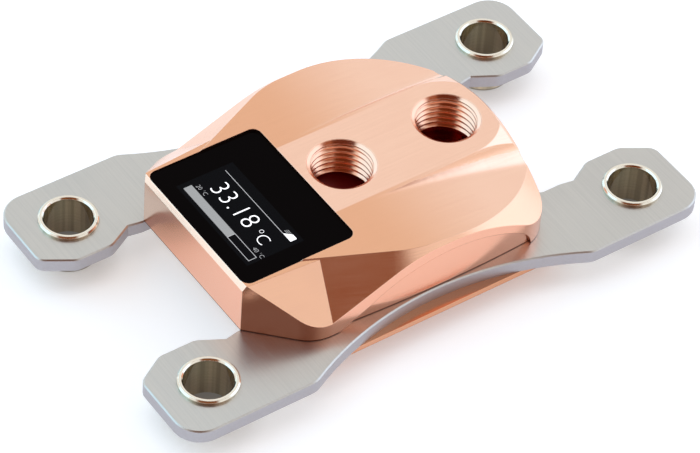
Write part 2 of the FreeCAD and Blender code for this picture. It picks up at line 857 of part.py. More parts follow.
pieces = {
    "top_housing": top_housing,
    "mounting_plate": mounting_plate,
    "cold_plate": cold_plate,
    "main_seal": main_seal,
    "jet_plate": jet_plate,
    "flow_insert": flow_insert,
    "base_screws": base_screws,
    "locating_pins": locating_pins,
    "display_window": display_window,
    "window_gasket": window_gasket,
    "display_cell": display_cell,
    "backlight": backlight,
    "display_carrier": display_carrier,
    "display_ribbon": display_ribbon,
    "ribbon_connector": ribbon_connector,
    "display_board": display_board,
    "board_screws": board_screws,
    "controller_chip": controller_chip,
    "power_chip": power_chip,
    "temperature_sensor": temperature_sensor,
    "sensor_seal": sensor_seal,
    "data_socket": data_socket,
    "socket_contacts": socket_contacts,
}

os.makedirs("parts", exist_ok=True)
for name, build in pieces.items():
    build().exportStep(f"parts/{name}.step")

end_names = {-1: "front", 1: "rear"}
side_names = {-1: "left", 1: "right"}
for x, y in hole_places:
    name = f"sleeve_{end_names[1 if y > 0 else -1]}_{side_names[1 if x > 0 else -1]}"
    sleeve(x, y).exportStep(f"parts/{name}.step")
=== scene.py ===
import json
import math

import bpy
from mathutils import Matrix, Vector


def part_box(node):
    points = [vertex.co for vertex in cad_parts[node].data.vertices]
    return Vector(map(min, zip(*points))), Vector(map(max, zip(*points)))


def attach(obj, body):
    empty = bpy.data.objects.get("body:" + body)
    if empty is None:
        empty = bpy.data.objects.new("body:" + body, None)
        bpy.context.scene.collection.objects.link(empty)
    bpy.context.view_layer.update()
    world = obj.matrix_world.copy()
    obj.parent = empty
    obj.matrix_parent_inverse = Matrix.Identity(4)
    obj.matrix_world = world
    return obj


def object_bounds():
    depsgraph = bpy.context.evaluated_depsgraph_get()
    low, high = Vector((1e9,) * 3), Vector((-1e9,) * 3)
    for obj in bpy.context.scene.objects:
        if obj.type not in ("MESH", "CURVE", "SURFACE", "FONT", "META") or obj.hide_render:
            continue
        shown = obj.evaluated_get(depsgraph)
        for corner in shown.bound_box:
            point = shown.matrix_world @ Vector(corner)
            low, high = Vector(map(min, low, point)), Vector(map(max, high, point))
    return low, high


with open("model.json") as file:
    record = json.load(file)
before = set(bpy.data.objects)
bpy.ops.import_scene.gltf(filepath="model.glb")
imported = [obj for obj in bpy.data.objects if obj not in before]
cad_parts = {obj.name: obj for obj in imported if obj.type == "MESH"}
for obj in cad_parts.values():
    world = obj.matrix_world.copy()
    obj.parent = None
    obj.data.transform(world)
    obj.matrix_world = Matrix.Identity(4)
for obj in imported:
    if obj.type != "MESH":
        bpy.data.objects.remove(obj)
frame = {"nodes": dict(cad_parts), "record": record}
CAD_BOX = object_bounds()

bl_info = {
    "name": "Liquid cooling cold plate looks",
    "version": (1, 0, 0),
    "blender": (4, 5, 0),
    "location": "3D View > Sidebar > Cold Plate",
    "description": "Dresses the packed cold plate: port threads, lit readout, finishes and studio stage",
    "category": "Object",
}

MM = 0.001
TEXT_SIZE = 1.38    # size of the type for capitals of height 1
GLASS_LOW, GLASS_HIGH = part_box("display_window")
HOUSING_LOW, HOUSING_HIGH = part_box("top_housing")
PLATE_LOW, PLATE_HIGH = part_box("mounting_plate")
INSERT_LOW, INSERT_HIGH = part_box("flow_insert")
PORTS = [m for m in frame["record"]["mounts"] if m["kind"] == "threaded_hole"]
SLEEVES = [m for m in frame["record"]["mounts"] if m["kind"] == "bore"]
PORT_WALL = PORTS[0]["dims"]["r_mm"] * MM
PORT_LINE = sorted(port["pos_m"][1] for port in PORTS)

# Parts of the white room that aren't plain white: direction, angles where they are full and gone, colour
PANELS = (
    ((0.60, -0.42, 0.68), 21.0, 34.0, (0.26, 0.095, 0.040)),
    ((0.15, 0.88, 0.45), 22.0, 38.0, (1.45, 1.65, 1.95)),
    ((-0.91, -0.02, 0.41), 16.0, 26.0, (1.15, 1.70, 2.10)),
    ((-0.50, -0.52, 0.69), 25.0, 31.0, (1.15, 1.70, 2.10)),
    ((0.45, 0.22, 0.87), 10.0, 20.0, (0.35, 0.14, 0.07)),
    ((0.30, -0.24, 0.92), 20.0, 25.0, (0.13, 0.032, 0.012)),
)


def length(name, description, default):
    return bpy.props.FloatProperty(name=name, description=description, default=default, unit="LENGTH",
                                   precision=5)


def colour(name, description, default):
    return bpy.props.FloatVectorProperty(name=name, description=description, default=default,
                                         subtype="COLOR", size=3, min=0.0, max=1.0)


def angle(name, description, default):
    return bpy.props.FloatProperty(name=name, description=description, default=math.radians(default),
                                   subtype="ANGLE", unit="ROTATION")


def factor(name, description, default):
    return bpy.props.FloatProperty(name=name, description=description, default=default, min=0.0)


class ThreadSizes(bpy.types.PropertyGroup):
    pitch: length("Pitch", "Height of one turn of the port thread", 1.337 * MM)
    crest_radius: length("Crest radius", "Inner radius of the thread", 5.78 * MM)
    root_overlap: length("Root overlap", "How far the ridge reaches into the port's wall", 0.03 * MM)
    crest_width: length("Crest width", "Flat on top of each ridge", 0.18 * MM)
    crest_round: length("Crest round", "Size of the rounding along each ridge", 0.08 * MM)
    root_width: length("Root width", "Width of each ridge at the wall", 1.32 * MM)
    top_gap: length("Top gap", "Plain wall above the first turn", 0.45 * MM)
    bottom_gap: length("Bottom gap", "Plain wall below the last turn", 0.15 * MM)
    lip_in: length("Lip in", "How far the countersunk mouth reaches inward", 0.66 * MM)
    lip_drop: length("Lip drop", "Depth of the countersunk mouth", 0.44 * MM)
    steps: bpy.props.IntProperty(name="Steps", description="Sections in one turn", default=72)


class FinishSizes(bpy.types.PropertyGroup):
    # Painted shade on the flanks: where it comes in across the part and where it fades out along it.
    land_side: length("Land side", "From the middle to where the milled flanks begin", 9.6 * MM)
    flank_shade_fade: length("Land fade", "Width over which the flanks' tint comes in", 0.4 * MM)
    flank_shade_front: length("Flank front", "Where the flanks' tint is full", -9.0 * MM)
    flank_shade_rear: length("Flank rear", "Where the flanks' tint is gone", 18.0 * MM)
    # Painted shade deep below the ports: its half width and the depths where it begins and is darkest.
    hollow_shade_side: length("Hollow side", "Half width of the dark copper below the ports", 7.0 * MM)
    hollow_shade_from: length("Hollow from", "Depth below the land where that copper begins to darken", 6.5 * MM)
    hollow_shade_full: length("Hollow full", "Depth below the land where it is darkest", 9.0 * MM)
    # Painted contact shadow where the walls meet the plate: its height.
    seam: length("Seam", "Height of the dark line where the walls meet the plate", 0.30 * MM)
    foot_radius: length("Foot radius", "Radius of the sleeves' feet on the floor", 5.7 * MM)
    contact: length("Contact", "Reach of the shade that the part casts on the floor's own light", 6.0 * MM)


class ReadoutSizes(bpy.types.PropertyGroup):
    film: length("Film", "Thickness of what is lit on the glass", 0.02 * MM)
    stroke: length("Stroke", "How much the characters' strokes are thinned on each side", 0.12 * MM)
    digit_height: length("Digit height", "Height of the large digits", 4.05 * MM)
    digit_left: length("Digit left", "Left end of the reading", -8.2 * MM)
    digit_base: length("Digit base", "Foot of the large digits", -27.75 * MM)
    unit_height: length("Unit height", "Height of the unit's letter", 2.7 * MM)
    unit_left: length("Unit left", "Left end of the unit's letter", 7.0 * MM)
    degree_left: length("Degree left", "Left end of the degree sign", 5.75 * MM)
    scale_height: length("Scale height", "Height of the small numbers", 0.95 * MM)
    scale_base: length("Scale base", "Foot of the small numbers", -29.5 * MM)
    bar_left: length("Bar left", "Left end of the level bar", -10.25 * MM)
    bar_right: length("Bar right", "Right end of the level bar", 11.55 * MM)
    bar_fill: length("Bar fill", "Where the filled part of the bar ends", 4.4 * MM)
    bar_front: length("Bar front", "Front edge of the level bar", -31.75 * MM)
    bar_rear: length("Bar rear", "Rear edge of the level bar", -29.95 * MM)
    rule_width: length("Rule width", "Width of the thin lines", 0.11 * MM)
    rule_y: length("Rule", "Place of the line above the reading", -22.5 * MM)
    tag_left: length("Tag left", "Left end of the slanted tag", 8.9 * MM)
    tag_right: length("Tag right", "Right end of the slanted tag", 11.4 * MM)
    tag_rear: length("Tag rear", "Rear edge of the slanted tag", -21.1 * MM)
    scale_in: length("Scale in", "From the bar's left end to the lower number", 0.6 * MM)
    scale_out: length("Scale out", "From the bar's right end to the higher number", 2.4 * MM)
    fin_first: factor("Fin first", "Place of the first fin between line and tag's rear", 0.45)
    fin_pitch: factor("Fin pitch", "Step from one fin to the next", 0.20)
    fin_out: factor("Fin out", "How far the first fin starts left of the tag, in widths of the lines", 5.2)
    fin_lean: factor("Fin lean", "How much less the next fin does, in the same widths", 1.2)
    field_left: length("Field left", "Left edge of the display's lighter field", -11.4 * MM)
    field_right: length("Field right", "Right edge of the lighter field", 12.4 * MM)
    field_front: length("Field front", "Front edge of the lighter field", -32.6 * MM)
    field_rear: length("Field rear", "Rear edge of the lighter field", -20.2 * MM)


class FinishColours(bpy.types.PropertyGroup):
    copper: colour("Copper", "Satin copper of the housing", (0.917, 0.599, 0.454))
    copper_dark: colour("Copper shade", "Darker marks in the copper", (0.850, 0.500, 0.360))
    # Painted shade: the bevels get a darker, deeper copper than the top.
    slope: colour("Slope", "Copper of the bevels", (0.890, 0.520, 0.350))
    # Painted shade: darker copper on the flanks, standing in for their dimmer reflection.
    flank_shade: colour("Flank", "Copper of the flanks next to the display", (0.740, 0.350, 0.170))
    # Painted shade: the upright walls get a darker, deeper copper than the top.
    wall: colour("Wall", "Copper of the upright walls", (0.920, 0.470, 0.325))
    # Painted highlight: pale copper on the bevel along the display's front.
    front_bevel_highlight: colour("Front bevel", "Bevel along the front of the display", (0.970, 0.760, 0.620))
    # Painted shade: dark copper deep below the ports.
    hollow_shade: colour("Hollow", "Copper in the dark below the ports", (0.300, 0.035, 0.020))
    # Painted contact shadow: dark line where the walls meet the plate.
    seam: colour("Seam", "Dark line where the walls meet the plate", (0.150, 0.055, 0.030))
    thread: colour("Thread", "Bare copper of the port threads", (0.920, 0.515, 0.360))
    base_copper: colour("Base copper", "Machined copper of the cold plate", (0.90, 0.43, 0.24))
    plate: colour("Plate", "Brushed steel of the mounting plate", (0.570, 0.550, 0.515))
    plate_edge: colour("Plate edge", "Cut edge of the mounting plate", (0.490, 0.470, 0.495))
    rim: colour("Sleeve rim", "Turned rims of the sleeves", (0.860, 0.810, 0.700))
    bore: colour("Sleeve bore", "Bores of the sleeves", (0.920, 0.800, 0.610))
    glass: colour("Glass", "Black display glass", (0.002, 0.001, 0.001))
    field: colour("Display field", "Faint field of the display under the glass", (0.006, 0.006, 0.007))
    insert: colour("Insert", "Insert that shows at the bottom of the ports", (0.380, 0.009, 0.008))
    lit: colour("Lit", "Lit digits and lines", (0.95, 0.96, 1.0))
    bar: colour("Bar", "Filled part of the level bar", (0.40, 0.41, 0.42))
    floor: colour("Floor", "Studio floor", (0.652, 0.650, 0.660))
    # Painted shadow: darker floor inside the feet of the sleeves.
    under_foot_shadow: colour("Under foot", "Floor inside the feet of the sleeves", (0.270, 0.230, 0.170))


class StageSizes(bpy.types.PropertyGroup):
    floor_size: length("Floor", "Side of the floor", 8.0)
    target_x: length("Target X", "Point that the camera looks at", 5.563 * MM)
    target_y: length("Target Y", "Point that the camera looks at", -4.619 * MM)
    target_z: length("Target Z", "Point that the camera looks at", 9.1 * MM)
    distance: length("Distance", "Camera to its target", 689.8 * MM)
    azimuth: angle("Azimuth", "Turn of the camera round the part", 52.19)
    elevation: angle("Elevation", "Height of the camera above the horizon", 45.16)
    roll: angle("Roll", "Turn of the camera about its view", 4.65)
    focal: bpy.props.FloatProperty(name="Focal length", description="Lens of the camera", default=189.93)
    sky: factor("Sky", "Brightness of the white studio", 1.0)
    glow: factor("Glow", "Light that comes up through the floor", 0.54)
    # Painted shadow: the floor's glow is cut to this share inside the sleeves' feet.
    shadowed_foot_glow: factor("Foot glow", "Share of that light inside the feet of the sleeves", 0.14)


def settings(name):
    return getattr(bpy.context.scene, name)


# Small tools

def clear_selection():
    if bpy.context.object is not None and bpy.context.object.mode != "OBJECT":
        bpy.ops.object.mode_set(mode="OBJECT")
    bpy.ops.object.select_all(action="DESELECT")


def select_only(piece):
    clear_selection()
    piece.select_set(True)
    bpy.context.view_layer.objects.active = piece


def bake_place(piece):
    """Moves the object's place into its mesh, so that it sits at the origin."""
    select_only(piece)
    bpy.ops.object.transform_apply(location=True, rotation=True, scale=True)


def close_up(piece):
    """Merges doubles and turns the faces outward."""
    select_only(piece)
    bpy.ops.object.mode_set(mode="EDIT")
    bpy.ops.mesh.select_all(action="SELECT")
    bpy.ops.mesh.remove_doubles(threshold=1e-7)
    bpy.ops.mesh.normals_make_consistent(inside=False)
    bpy.ops.object.mode_set(mode="OBJECT")


def finish_piece(piece, name, material):
    piece.name = name
    piece.data.name = name
    piece.data.materials.clear()
    piece.data.materials.append(material)
    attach(piece, "root")


def extrude_up(height):
    """Raises all that is modelled as a flat face into a film of this thickness."""
    bpy.ops.mesh.select_all(action="SELECT")
    bpy.ops.mesh.extrude_region_move(TRANSFORM_OT_translate={"value": (0, 0, height)})


def flat_field(x0, x1, y0, y1, z):
    """Flat rectangle between these limits."""
    clear_selection()
    bpy.ops.mesh.primitive_plane_add(size=1, location=((x0 + x1) / 2, (y0 + y1) / 2, z))
    piece = bpy.context.object
    piece.scale = (x1 - x0, y1 - y0, 1)
    bake_place(piece)
    return piece


def lit_strip(x0, x1, y0, y1, z, film, corner, slant=0.0):
    """Flat lit field with rounded corners, whose left end may lean."""
    piece = flat_field(x0, x1, y0, y1, z)
    for vertex in piece.data.vertices:
        if vertex.co.x < (x0 + x1) / 2 and vertex.co.y > (y0 + y1) / 2:
            vertex.co.x += slant
    bpy.ops.object.mode_set(mode="EDIT")
    bpy.ops.mesh.select_all(action="SELECT")
    bpy.ops.mesh.bevel(offset=corner, segments=3, affect="VERTICES")
    extrude_up(film)
    bpy.ops.object.mode_set(mode="OBJECT")
    close_up(piece)
    return piece


def lit_frame(x0, x1, y0, y1, z, film, width):
    """Thin lit outline of a rectangle."""
    piece = flat_field(x0, x1, y0, y1, z)
    bpy.ops.object.mode_set(mode="EDIT")
    bpy.ops.mesh.select_all(action="SELECT")
    bpy.ops.mesh.inset(thickness=width)
    bpy.ops.mesh.delete(type="FACE")
    extrude_up(film)
    bpy.ops.object.mode_set(mode="OBJECT")
    close_up(piece)
    return piece


def lettering(body, height, x, y, z, depth, thin, spread=1.0):
    """Flat raised characters that read along +X, with their foot at y."""
    clear_selection()
    bpy.ops.object.text_add(location=(x, y, z + depth / 2))
    piece = bpy.context.object
    piece.data.body = body
    piece.data.size = height * TEXT_SIZE
    piece.data.space_character = spread
    piece.data.offset = -thin
    piece.data.extrude = depth / 2
    piece.data.resolution_u = 6
    bpy.ops.object.convert(target="MESH")
    piece = bpy.context.object
    bake_place(piece)
    close_up(piece)
    return piece


def fit_to_ports(master, ending, finish):
    """Puts a copy with its own mesh on the axis of each port and removes the piece it is copied from."""
    for port in PORTS:
        select_only(master)
        bpy.ops.object.duplicate(linked=False)
        copy = bpy.context.object
        x, y, _ = port["pos_m"]
        bpy.ops.transform.translate(value=(x, y, 0))
        bake_place(copy)
        close_up(copy)
        finish_piece(copy, port["name"] + ending, finish)
    bpy.data.objects.remove(master)


def joined(pieces):
    clear_selection()
    for piece in pieces:
        piece.select_set(True)
    bpy.context.view_layer.objects.active = pieces[0]
    bpy.ops.object.join()
    return bpy.context.object


# Materials

class Nodes:
    """Short way to build a node tree."""

    def __init__(self, name):
        self.material = bpy.data.materials.new(name)
        self.material.use_nodes = True
        self.tree = self.material.node_tree
        self.shader = next(n for n in self.tree.nodes if n.type == "BSDF_PRINCIPLED")
        self.place = self.add("ShaderNodeTexCoord").outputs["Object"]

    def add(self, kind, **values):
        node = self.tree.nodes.new(kind)
        for key, value in values.items():
            setattr(node, key, value)
        return node

    def link(self, source, target):
        self.tree.links.new(source, target)

    def feed(self, socket, value):
        if isinstance(value, bpy.types.NodeSocket):
            self.link(value, socket)
        else:
            socket.default_value = value

    def set(self, **values):
        for key, value in values.items():
            self.feed(self.shader.inputs[key.replace("_", " ")], value)

    def math(self, operation, a, b=0.0, c=0.0):
        node = self.add("ShaderNodeMath", operation=operation)
        for socket, value in zip(node.inputs, (a, b, c)):
            self.feed(socket, value)
        return node.outputs[0]

    def split(self, vector):
        node = self.add("ShaderNodeSeparateXYZ")
        self.link(vector, node.inputs[0])
        return node.outputs

    def join(self, x, y, z):
        node = self.add("ShaderNodeCombineXYZ")
        for socket, value in zip(node.inputs, (x, y, z)):
            self.feed(socket, value)
        return node.outputs[0]

    def product(self, share, *others):
        for other in others:
            share = self.math("MULTIPLY", share, other)
        return share

    def between(self, value, low, high):
        """1 between the two values and 0 outside them."""
        return self.product(self.math("GREATER_THAN", value, low), self.math("LESS_THAN", value, high))

    def from_axis(self, centre):
        """Offsets and distance from the nearest of the four upright axes at this centre's mirror places."""
        place = self.split(self.place)
        x, y = (self.math("SUBTRACT", self.math("ABSOLUTE", place[i]), abs(centre[i])) for i in (0, 1))
        reach = self.math("SQRT", self.math("ADD", self.product(x, x), self.product(y, y)))
        return x, y, reach

    def facing(self):
        return self.split(self.add("ShaderNodeNewGeometry").outputs["True Normal"])

    def scaled(self, vector, scale):
        node = self.add("ShaderNodeMapping")
        self.link(vector, node.inputs["Vector"])
        node.inputs["Scale"].default_value = scale
        return node.outputs[0]

    def noise(self, vector, scale=1.0, detail=2.0, roughness=0.5):
        node = self.add("ShaderNodeTexNoise")
        self.link(vector, node.inputs["Vector"])
        node.inputs["Scale"].default_value = scale
        node.inputs["Detail"].default_value = detail
        node.inputs["Roughness"].default_value = roughness
        return node.outputs[0]

    def remap(self, value, a, b, c, d):
        node = self.add("ShaderNodeMapRange", interpolation_type="SMOOTHSTEP")
        for socket, number in zip(node.inputs, (value, a, b, c, d)):
            self.feed(socket, number)
        return node.outputs[0]

    def mix(self, share, a, b):
        node = self.add("ShaderNodeMix", data_type="RGBA")
        colours = [s for s in node.inputs if s.type == "RGBA"]
        self.feed(node.inputs[0], share)
        for socket, value in zip(colours, (a, b)):
            if isinstance(value, bpy.types.NodeSocket):
                self.link(value, socket)
            else:
                socket.default_value = (*value[:3], 1.0)
        return next(s for s in node.outputs if s.type == "RGBA")

    def bump(self, height, strength, distance, normal=None):
        node = self.add("ShaderNodeBump")
        self.link(height, node.inputs["Height"])
        node.inputs["Strength"].default_value = strength
        node.inputs["Distance"].default_value = distance
        if normal is not None:
            self.link(normal, node.inputs["Normal"])
        return node.outputs[0]

    def soft_edge(self, radius, samples=6):
        node = self.add("ShaderNodeBevel", samples=samples)
        node.inputs["Radius"].default_value = radius
        return node.outputs[0]


def shaded(base, share):
    """The same colour, this much of its brightness."""
    return tuple(share * value for value in base)


def brush_marks(n, place, normal, is_top):
    """Fine marks that run level round every slope and along the flat top."""
    level = n.math("SQRT", n.math("ADD", n.product(normal[0], normal[0]),
                                  n.math("MULTIPLY_ADD", normal[1], normal[1], 1e-6)))
    across = n.math("DIVIDE", n.math("SUBTRACT", n.product(place[1], normal[0]),
                                     n.product(place[0], normal[1])), level)
    slope_marks = n.noise(n.join(n.product(across, 90.0), n.product(place[2], 5200.0), 0.0), 1.0, 3.0, 0.6)
    top_marks = n.noise(n.scaled(n.place, (2600.0, 60.0, 60.0)), 1.0, 3.0, 0.6)
    marks = n.add("ShaderNodeMix", data_type="FLOAT")
    n.link(is_top, marks.inputs[0])
    n.link(slope_marks, marks.inputs[2])
    n.link(top_marks, marks.inputs[3])
    return marks.outputs[0]


def brushed_copper(name, base, slope, wall, roughness, deep_from, deep_to):
    """Satin copper with painted shade on slopes, walls and flanks, a painted highlight on the front bevel, a
    painted contact shadow where the walls meet the plate, and painted shade deep below the ports.
    """
    c = settings("coldplate_colours")
    f = settings("coldplate_finish")
    n = Nodes(name)
    normal = n.facing()
    place = n.split(n.place)
    side = n.math("ABSOLUTE", place[0])

    is_top = n.remap(normal[2], 0.74, 0.80, 0.0, 1.0)
    # Painted shade on the bevels.
    is_shaded_slope = n.product(n.remap(normal[2], 0.45, 0.60, 0.0, 1.0), n.math("SUBTRACT", 1.0, is_top))
    # Painted shade on the upright walls.
    is_shaded_wall = n.remap(n.math("ABSOLUTE", normal[2]), 0.15, 0.40, 1.0, 0.0)
    # Painted shade on the flanks beside the land, strongest towards the front.
    is_flank_shade = n.product(n.remap(side, f.land_side, f.land_side + f.flank_shade_fade, 0.0, 1.0),
                         n.remap(place[1], f.flank_shade_front, f.flank_shade_rear, 1.0, 0.0), is_top, 0.68)
    # Painted highlight on the bevel along the display's front.
    is_front_bevel_highlight = n.product(n.remap(normal[1], -0.90, -0.86, 1.0, 0.0),
                               n.remap(normal[2], 0.15, 0.25, 0.0, 1.0),
                               n.remap(normal[1], -0.99, -0.97, 0.0, 1.0))
    # Painted contact shadow in a thin band just above and below the plate's top.
    is_seam_shadow = n.product(n.remap(place[2], PLATE_HIGH.z - f.seam / 3, PLATE_HIGH.z, 0.0, 1.0),
                        n.remap(place[2], PLATE_HIGH.z + f.seam / 3, PLATE_HIGH.z + f.seam, 1.0, 0.0))
    # Painted shade deep below the ports, darker with depth.
    is_hollow_shade = n.product(n.remap(place[2], deep_from, deep_to, 0.0, 1.0),
                          n.math("LESS_THAN", side, f.hollow_shade_side),
                          n.between(place[1], PORT_LINE[0] - f.hollow_shade_side, PORT_LINE[1] + f.hollow_shade_side))

    marks = brush_marks(n, place, normal, is_top)
    cloud = n.noise(n.place, 90.0, 2.0, 0.5)
    wear = n.math("ADD", n.product(marks, 0.5), n.product(cloud, 0.5))
    # Painted shade: bevels and upright walls take their darker copper, the top keeps the base copper.
    tone = n.mix(is_shaded_wall, n.mix(is_shaded_slope, base, slope), wall)
    tone = n.mix(n.remap(wear, 0.35, 0.65, 0.0, 0.25), tone, c.copper_dark)
    # Painted shade on the flanks, painted highlight on the front bevel, painted contact shadow at the plate
    # and painted shade deep below the ports.
    for share, tint in ((is_flank_shade, c.flank_shade), (is_front_bevel_highlight, c.front_bevel_highlight), (is_seam_shadow, c.seam),
                        (is_hollow_shade, c.hollow_shade)):
        tone = n.mix(share, tone, tint)
    n.set(Metallic=1.0, Anisotropic=0.2, Base_Color=tone,
          Roughness=n.remap(wear, 0.3, 0.7, roughness - 0.04, roughness + 0.04),
          Normal=n.bump(marks, 0.05, 0.04 * MM, n.soft_edge(0.16 * MM)))
    return n.material


def thread_copper(name, base, shade):
    """Cut copper of the port threads, with fine marks round the axis."""
    n = Nodes(name)
    marks = n.noise(n.join(0.0, 0.0, n.product(n.split(n.place)[2], 9000.0)), 1.0, 2.0, 0.5)
    n.set(Metallic=1.0, Base_Color=n.mix(n.remap(marks, 0.3, 0.7, 0.0, 0.4), base, shade),
          Roughness=n.remap(marks, 0.3, 0.7, 0.12, 0.20),
          Normal=n.bump(marks, 0.08, 0.03 * MM, n.soft_edge(0.10 * MM)))
    return n.material


def brushed_steel(name, base, edge, roughness):
    """Satin steel with straight brush marks along X, small clouds and duller cut edges."""
    n = Nodes(name)
    marks = n.noise(n.scaled(n.place, (35.0, 2400.0, 2400.0)), 1.0, 4.0, 0.65)
    cloud = n.noise(n.place, 70.0, 3.0, 0.5)
    wear = n.math("ADD", n.product(marks, 0.7), n.product(cloud, 0.3))
    satin = n.mix(n.remap(wear, 0.35, 0.65, 0.0, 0.4), base, shaded(base, 0.84))
    is_flat = n.remap(n.math("ABSOLUTE", n.facing()[2]), 0.4, 0.6, 0.0, 1.0)
    brushed = n.remap(wear, 0.3, 0.7, roughness - 0.05, roughness + 0.05)
    n.set(Metallic=1.0, Anisotropic=0.3, Base_Color=n.mix(is_flat, edge, satin),
          Roughness=n.math("MULTIPLY_ADD", n.math("SUBTRACT", 1.0, is_flat), 0.25, brushed),
          Normal=n.bump(marks, 0.10, 0.05 * MM, n.soft_edge(0.08 * MM)))
    return n.material


def turned_metal(name, rim, bore, centre, roughness):
    """Turned and polished metal: fine rings round the nearest axis, and bores with darker stripes of painted
    shade at random turns round the axis, standing in for the bore's reflections.
    """
    n = Nodes(name)
    x, y, reach = n.from_axis(centre)
    z = n.split(n.place)[2]
    rings = n.noise(n.join(n.product(reach, 5200.0), 0.0, n.product(z, 3600.0)), 1.0, 3.0, 0.6)
    # Painted shade: darker stripes round the bore, standing in for its reflections.
    shade_bands = n.noise(n.join(n.math("ARCTAN2", y, x), 0.0, 0.0), 1.7, 2.0, 0.6)
    is_bore = n.remap(n.math("ABSOLUTE", n.facing()[2]), 0.15, 0.5, 1.0, 0.0)
    shade_banded = n.mix(n.remap(shade_bands, 0.42, 0.58, 0.0, 1.0), bore, shaded(bore, 0.68))
    tone = n.mix(is_bore, rim, shade_banded)
    n.set(Metallic=1.0, Base_Color=n.mix(n.remap(rings, 0.3, 0.7, 0.0, 0.25), tone, shaded(bore, 0.5)),
          Roughness=n.remap(rings, 0.3, 0.7, roughness - 0.04, roughness + 0.06),
          Normal=n.bump(rings, 0.10, 0.04 * MM, n.soft_edge(0.10 * MM)))
    return n.material


def moulded(name, base, roughness, grain=900.0, amount=0.06):
    """Moulded plastic or rubber with a fine grain."""
    n = Nodes(name)
    grains = n.noise(n.place, grain, 3.0, 0.6)
    cloud = n.noise(n.place, grain / 8, 2.0, 0.5)
    n.set(Base_Color=n.mix(n.remap(cloud, 0.3, 0.7, 0.0, 1.0), base, shaded(base, 0.7)),
          Roughness=n.remap(grains, 0.3, 0.7, roughness - 0.07, roughness + 0.07),
          Normal=n.bump(grains, amount, 0.1 * MM))
    return n.material


def black_glass(name, base, field):
    """Glossy black glass with the faint lighter field of the display under it."""
    r = settings("coldplate_readout")
    n = Nodes(name)
    place = n.split(n.place)
    is_field = n.product(n.between(place[0], r.field_left, r.field_right),
                         n.between(place[1], r.field_front, r.field_rear))
    speckle = n.noise(n.place, 5200.0, 2.0, 0.7)
    light = n.product(is_field, n.remap(speckle, 0.3, 0.7, 0.35, 1.0))
    n.set(IOR=1.45, Specular_IOR_Level=0.02, Base_Color=n.mix(light, base, field),
          Roughness=n.remap(n.noise(n.place, 400.0, 2.0, 0.5), 0.3, 0.7, 0.04, 0.09),
          Normal=n.soft_edge(0.06 * MM))
    return n.material


def lit_film(name, base, strength, speckle):
    """What the display lights up, with the faint mesh of its dots."""
    n = Nodes(name)
    place = n.split(n.place)
    rows, columns = (n.math("SINE", n.product(n.math(sign, place[0], place[1]), 22000.0))
                     for sign in ("ADD", "SUBTRACT"))
    dots = n.remap(n.product(rows, columns), -0.5, 0.5, 0.0, speckle)
    n.set(Base_Color=n.mix(dots, (0.02, 0.02, 0.02), (0.03, 0.03, 0.03)),
          Emission_Color=n.mix(dots, base, shaded(base, 0.25)), Emission_Strength=strength,
          Roughness=n.remap(dots, 0.0, 1.0, 0.15, 0.25))
    return n.material


def board_laminate(name):
    """Green laminate with the weave of its glass cloth."""
    n = Nodes(name)
    weave = n.add("ShaderNodeTexWave", wave_type="BANDS", bands_direction="X")
    n.link(n.scaled(n.place, (4200.0, 600.0, 600.0)), weave.inputs["Vector"])
    weave.inputs["Scale"].default_value = 1.0
    cloud = n.noise(n.place, 300.0, 3.0, 0.5)
    tone = n.math("ADD", n.product(weave.outputs["Fac"], 0.3), n.product(cloud, 0.7))
    n.set(Base_Color=n.mix(tone, (0.010, 0.085, 0.040), (0.022, 0.160, 0.080)),
          Roughness=n.remap(tone, 0.3, 0.7, 0.30, 0.45),
          Normal=n.bump(weave.outputs["Fac"], 0.05, 0.03 * MM))
    return n.material


def studio_floor(name, base, under_foot_shadow):
    """Matt white sheet, lit a little from below, with painted shadow near the part and a painted shadow
    inside the sleeves' feet.
    """
    f = settings("coldplate_finish")
    s = settings("coldplate_stage")
    n = Nodes(name)
    cloud = n.noise(n.place, 6.0, 2.0, 0.5)
    _, _, reach = n.from_axis(SLEEVES[0]["pos_m"])
    is_open = n.math("GREATER_THAN", reach, f.foot_radius)
    # Painted shadow: the floor's glow is dimmed by ambient occlusion near the part and cut to a small share
    # inside the sleeves' feet.
    contact_shadow = n.add("ShaderNodeAmbientOcclusion", samples=16)
    contact_shadow.inputs["Distance"].default_value = f.contact
    light = n.math("SUBTRACT", contact_shadow.outputs["AO"], s.shadowed_foot_glow)
    light = n.math("MULTIPLY_ADD", is_open, light, s.shadowed_foot_glow)
    # Painted shadow: the floor's colour is darker inside the sleeves' feet.
    n.set(Base_Color=n.mix(is_open, under_foot_shadow, n.mix(cloud, base, shaded(base, 0.99))),
          Roughness=n.remap(cloud, 0.0, 1.0, 0.85, 0.95), Specular_IOR_Level=0.1,
          Emission_Color=n.mix(light, (0.0, 0.0, 0.0), (1.0, 1.0, 1.0)), Emission_Strength=s.glow)
    return n.material


# Operators

